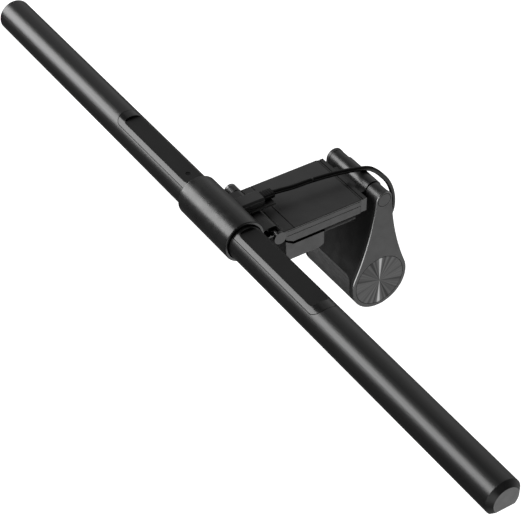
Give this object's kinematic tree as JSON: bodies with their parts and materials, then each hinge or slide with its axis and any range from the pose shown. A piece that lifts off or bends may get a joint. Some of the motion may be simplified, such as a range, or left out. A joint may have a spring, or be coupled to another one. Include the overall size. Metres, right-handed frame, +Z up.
{
  "type": "monitor light bar",
  "caption": "Slim cylindrical lamp bar held in a hinged collar on a clip with a front lip and a swinging round counterweight that rests behind a screen.",
  "frame": {"origin": "the middle of the soft face under the clip that rests on the screen's top edge", "axes": "+X along the lamp tube to its right-hand end as seen from behind the lamp looking forwards, -X to the other end; +Y back over the screen; +Z up"},
  "size_m": [0.5032, 0.1358, 0.1218],
  "materials": {
    "black_aluminium": "satin black anodised",
    "frosted_diffuser": "frosted white",
    "black_plastic": "fine matt texture",
    "satin_plastic": "satin black",
    "touch_plastic": "smooth matt black",
    "smoked_window": "smoked window",
    "circuit_board": "white solder mask",
    "led_phosphor": "yellow phosphor",
    "electronic_parts": "black moulded",
    "bush_plastic": "low-friction acetal",
    "nickel_steel": "nickel plated",
    "plain_steel": "plain turned",
    "black_steel": "black oxide",
    "spun_metal": "black, spun with fine rings",
    "lead_plastic": "moulded black",
    "lead_rubber": "matt black",
    "black_rubber": "soft matt black",
    "flex_film": "amber film"
  },
  "bodies": {
    "clip": {"clip_base": "black_plastic", "clip_frame": "black_plastic", "clip_cover": "black_plastic", "clip_screws": "nickel_steel", "rear_knuckle": "black_plastic", "under_pad": "black_rubber", "front_lip": "black_plastic", "lip_pad": "black_rubber", "lip_screws": "nickel_steel", "tilt_pin": "black_steel", "tilt_pin_cap": "black_steel", "usb_cable_front": "lead_rubber"},
    "collar": {"collar_sleeve": "black_plastic", "friction_bush_left": "bush_plastic", "friction_bush_right": "bush_plastic", "socket_carrier": "bush_plastic", "usb_socket_shell": "nickel_steel", "usb_socket_tongue": "black_plastic", "usb_plug_shell": "nickel_steel", "usb_plug_body": "lead_plastic", "strain_relief": "lead_rubber"},
    "bar": {"bar_housing": "black_aluminium", "diffuser": "frosted_diffuser", "end_cap_left": "black_plastic", "end_cap_right": "black_plastic", "touch_trim_left": "satin_plastic", "touch_trim_right": "satin_plastic", "touch_pad_left": "touch_plastic", "touch_pad_right": "touch_plastic", "touch_board_left": "circuit_board", "touch_board_right": "circuit_board", "light_sensor": "smoked_window", "led_board": "circuit_board", "leds": "led_phosphor", "control_board": "circuit_board", "board_parts": "electronic_parts", "flex_cable": "flex_film"},
    "counterweight": {"weight_shell": "black_plastic", "weight_back_cover": "black_plastic", "weight_slug": "plain_steel", "cheek_left": "black_plastic", "cheek_right": "black_plastic", "disc_left": "spun_metal", "disc_right": "spun_metal", "pivot_cap_left": "black_plastic", "pivot_cap_right": "black_plastic", "cheek_screws": "nickel_steel", "screen_pad": "black_rubber", "rear_pin": "plain_steel", "rear_washers": "bush_plastic", "usb_cable_rear": "lead_rubber", "usb_a_body": "lead_plastic", "usb_a_shell": "nickel_steel"}
  },
  "joints": [
    {"name": "tilt", "type": "hinge", "parent": "clip", "child": "collar", "pos_m": [0, -0.0435, 0.013], "axis": [1, 0, 0], "range_deg": [-15, 30], "deforming": ["usb_cable_front"]},
    {"name": "bar_rotation", "type": "hinge", "parent": "collar", "child": "bar", "pos_m": [0, -0.066, 0.0196], "axis": [1, 0, 0], "range_deg": [-20, 20], "deforming": ["flex_cable"]},
    {"name": "weight_swing", "type": "hinge", "parent": "clip", "child": "counterweight", "pos_m": [0, 0.0285, 0.0085], "axis": [1, 0, 0], "range_deg": [-20, 70], "deforming": ["usb_cable_rear"]}
  ]
}
